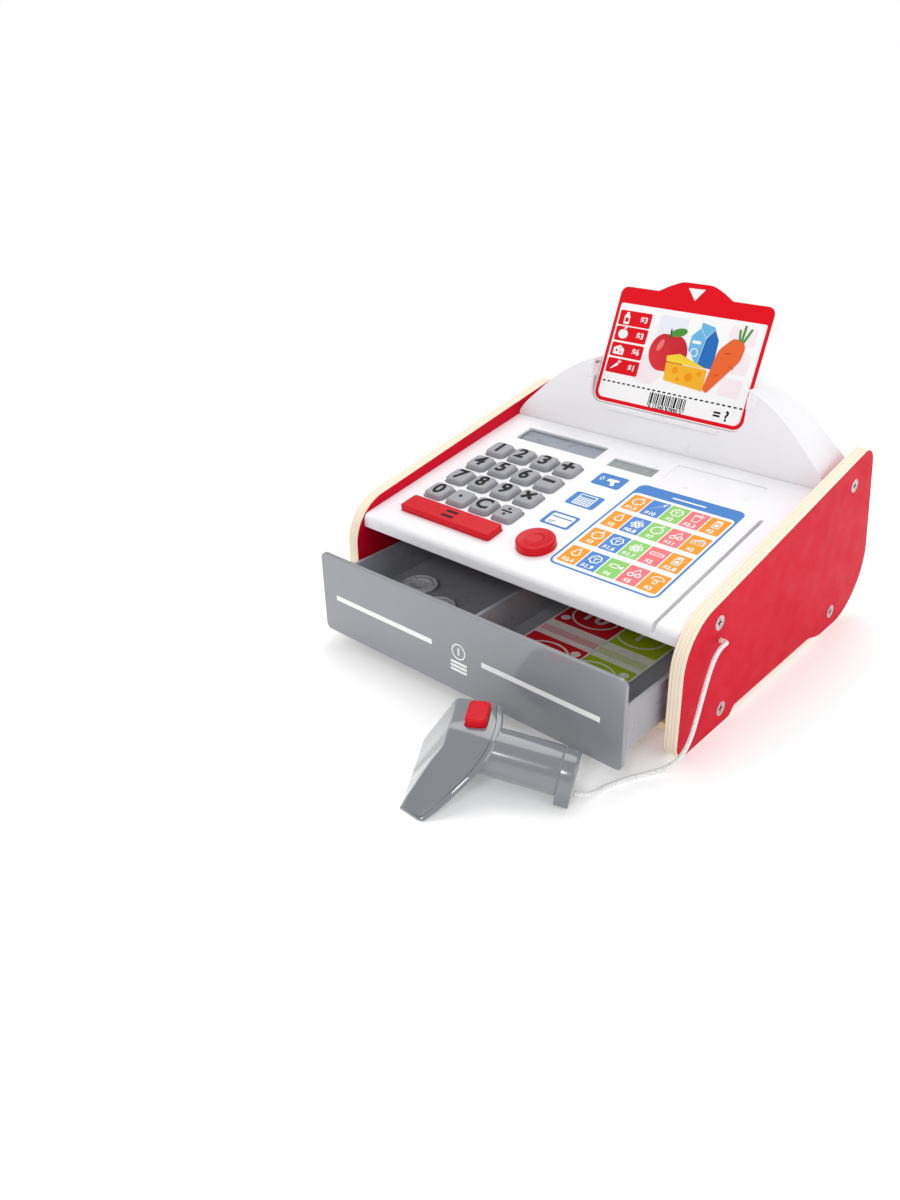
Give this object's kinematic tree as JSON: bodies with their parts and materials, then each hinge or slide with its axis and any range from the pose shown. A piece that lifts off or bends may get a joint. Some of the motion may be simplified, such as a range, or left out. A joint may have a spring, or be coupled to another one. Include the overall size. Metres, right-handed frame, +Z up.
{
  "type": "toy cash register",
  "caption": "Play cash register with a sloping calculator console, sprung cash drawer, list card stand and a scanner on a short cord.",
  "frame": {"origin": "middle of the footprint at the surface it stands on, cord left out of the measure", "axes": "+X to the user's right, +Y from the drawer front to the back, +Z up"},
  "size_m": [0.3084, 0.4184, 0.2413],
  "materials": {
    "red_paint": "red painted plywood faces, bare plywood edges",
    "wood": "bare birch plywood",
    "white_plastic": "satin white moulded plastic",
    "clear_window": "clear acrylic",
    "lcd_grey": "grey liquid crystal panel",
    "solar_cell": "dark grey-green amorphous cell",
    "circuit_green": "solder mask",
    "membrane_rubber": "matte",
    "red_plastic": "satin red moulded plastic",
    "key_grey": "matte grey moulded plastic",
    "steel": "bright zinc plated",
    "drawer_grey": "glossy grey moulded plastic",
    "note_red": "printed paper",
    "note_green": "printed paper",
    "coin_grey": "speckled grey moulded plastic",
    "card_white": "printed coated board",
    "scanner_grey": "glossy grey moulded plastic",
    "cord_white": "white braided cord"
  },
  "bodies": {
    "case": {"left_side_panel": "red_paint", "right_side_panel": "red_paint", "base_board": "wood", "front_batten": "wood", "rear_batten": "wood", "back_panel": "wood", "left_runner": "white_plastic", "right_runner": "white_plastic", "top_shell": "white_plastic", "hood": "white_plastic", "panel_screw_1": "steel", "panel_screw_2": "steel", "panel_screw_3": "steel", "panel_screw_4": "steel", "panel_screw_5": "steel", "panel_screw_6": "steel", "panel_screw_7": "steel", "panel_screw_8": "steel", "display_window": "clear_window", "lcd_panel": "lcd_grey", "solar_cell": "solar_cell", "circuit_board": "circuit_green", "keypad_membrane": "membrane_rubber", "button_spring": "steel", "latch_pin": "steel", "latch_bracket": "steel", "ejector_spring": "steel", "cord_knot": "cord_white", "scanner_cord": "cord_white"},
    "drawer": {"drawer_tray": "drawer_grey", "drawer_front": "drawer_grey", "note_ten": "note_red", "note_one": "note_green", "coin_1": "coin_grey", "coin_2": "coin_grey"},
    "key_1": {"key_1": "key_grey"},
    "key_2": {"key_2": "key_grey"},
    "key_3": {"key_3": "key_grey"},
    "key_plus": {"key_plus": "key_grey"},
    "key_4": {"key_4": "key_grey"},
    "key_5": {"key_5": "key_grey"},
    "key_6": {"key_6": "key_grey"},
    "key_minus": {"key_minus": "key_grey"},
    "key_7": {"key_7": "key_grey"},
    "key_8": {"key_8": "key_grey"},
    "key_9": {"key_9": "key_grey"},
    "key_times": {"key_times": "key_grey"},
    "key_0": {"key_0": "key_grey"},
    "key_point": {"key_point": "key_grey"},
    "key_clear": {"key_clear": "key_grey"},
    "key_divide": {"key_divide": "key_grey"},
    "equals_key": {"equals_key": "red_plastic"},
    "drawer_button": {"drawer_button": "red_plastic"},
    "latch_lever": {"latch_lever": "steel"},
    "list_card": {"list_card": "card_white"},
    "scanner": {"scanner_head": "scanner_grey", "scanner_handle": "scanner_grey", "scanner_end_cap": "scanner_grey", "scanner_sound_module": "circuit_green"},
    "scanner_trigger": {"scanner_trigger": "red_plastic"}
  },
  "joints": [
    {"name": "drawer_slide", "type": "slide", "parent": "case", "child": "drawer", "axis": [0, -1, 0], "range_m": [-0.0405, 0.01], "stiffness_N_per_m": 30, "deforming": ["ejector_spring"]},
    {"name": "key_1_press", "type": "slide", "parent": "case", "child": "key_1", "axis": [0, 0.1654, -0.9862], "range_m": [0, 0.0015], "stiffness_N_per_m": 300, "springref_m": -0.0004},
    {"name": "key_2_press", "type": "slide", "parent": "case", "child": "key_2", "axis": [0, 0.1654, -0.9862], "range_m": [0, 0.0015], "stiffness_N_per_m": 300, "springref_m": -0.0004},
    {"name": "key_3_press", "type": "slide", "parent": "case", "child": "key_3", "axis": [0, 0.1654, -0.9862], "range_m": [0, 0.0015], "stiffness_N_per_m": 300, "springref_m": -0.0004},
    {"name": "key_plus_press", "type": "slide", "parent": "case", "child": "key_plus", "axis": [0, 0.1654, -0.9862], "range_m": [0, 0.0015], "stiffness_N_per_m": 300, "springref_m": -0.0004},
    {"name": "key_4_press", "type": "slide", "parent": "case", "child": "key_4", "axis": [0, 0.1654, -0.9862], "range_m": [0, 0.0015], "stiffness_N_per_m": 300, "springref_m": -0.0004},
    {"name": "key_5_press", "type": "slide", "parent": "case", "child": "key_5", "axis": [0, 0.1654, -0.9862], "range_m": [0, 0.0015], "stiffness_N_per_m": 300, "springref_m": -0.0004},
    {"name": "key_6_press", "type": "slide", "parent": "case", "child": "key_6", "axis": [0, 0.1654, -0.9862], "range_m": [0, 0.0015], "stiffness_N_per_m": 300, "springref_m": -0.0004},
    {"name": "key_minus_press", "type": "slide", "parent": "case", "child": "key_minus", "axis": [0, 0.1654, -0.9862], "range_m": [0, 0.0015], "stiffness_N_per_m": 300, "springref_m": -0.0004},
    {"name": "key_7_press", "type": "slide", "parent": "case", "child": "key_7", "axis": [0, 0.1654, -0.9862], "range_m": [0, 0.0015], "stiffness_N_per_m": 300, "springref_m": -0.0004},
    {"name": "key_8_press", "type": "slide", "parent": "case", "child": "key_8", "axis": [0, 0.1654, -0.9862], "range_m": [0, 0.0015], "stiffness_N_per_m": 300, "springref_m": -0.0004},
    {"name": "key_9_press", "type": "slide", "parent": "case", "child": "key_9", "axis": [0, 0.1654, -0.9862], "range_m": [0, 0.0015], "stiffness_N_per_m": 300, "springref_m": -0.0004},
    {"name": "key_times_press", "type": "slide", "parent": "case", "child": "key_times", "axis": [0, 0.1654, -0.9862], "range_m": [0, 0.0015], "stiffness_N_per_m": 300, "springref_m": -0.0004},
    {"name": "key_0_press", "type": "slide", "parent": "case", "child": "key_0", "axis": [0, 0.1654, -0.9862], "range_m": [0, 0.0015], "stiffness_N_per_m": 300, "springref_m": -0.0004},
    {"name": "key_point_press", "type": "slide", "parent": "case", "child": "key_point", "axis": [0, 0.1654, -0.9862], "range_m": [0, 0.0015], "stiffness_N_per_m": 300, "springref_m": -0.0004},
    {"name": "key_clear_press", "type": "slide", "parent": "case", "child": "key_clear", "axis": [0, 0.1654, -0.9862], "range_m": [0, 0.0015], "stiffness_N_per_m": 300, "springref_m": -0.0004},
    {"name": "key_divide_press", "type": "slide", "parent": "case", "child": "key_divide", "axis": [0, 0.1654, -0.9862], "range_m": [0, 0.0015], "stiffness_N_per_m": 300, "springref_m": -0.0004},
    {"name": "equals_key_press", "type": "slide", "parent": "case", "child": "equals_key", "axis": [0, 0.1654, -0.9862], "range_m": [0, 0.0015], "stiffness_N_per_m": 500, "springref_m": -0.0006},
    {"name": "drawer_button_press", "type": "slide", "parent": "case", "child": "drawer_button", "axis": [0, 0.1654, -0.9862], "range_m": [0, 0.003], "stiffness_N_per_m": 300, "springref_m": -0.001, "deforming": ["button_spring"]},
    {"name": "latch_lever_tilt", "type": "hinge", "parent": "case", "child": "latch_lever", "pos_m": [-0.0075, -0.00274, 0.076], "axis": [1, 0, 0], "range_deg": [0, 8.8]},
    {"name": "list_card_lift", "type": "slide", "parent": "case", "child": "list_card", "axis": [0, 0.3947, 0.9188], "range_m": [0, 0.1]},
    {"name": "scanner_lift", "type": "slide", "parent": "case", "child": "scanner", "axis": [0, 0, 1], "range_m": [0, 0.12], "deforming": ["scanner_cord"]},
    {"name": "scanner_trigger_press", "type": "slide", "parent": "scanner", "child": "scanner_trigger", "axis": [0, 0, -1], "range_m": [0, 0.003], "stiffness_N_per_m": 300, "springref_m": -0.0004}
  ],
  "couplings": [
    {"joint": "latch_lever_tilt", "follows": "drawer_button_press", "rad_per_m": 50}
  ]
}
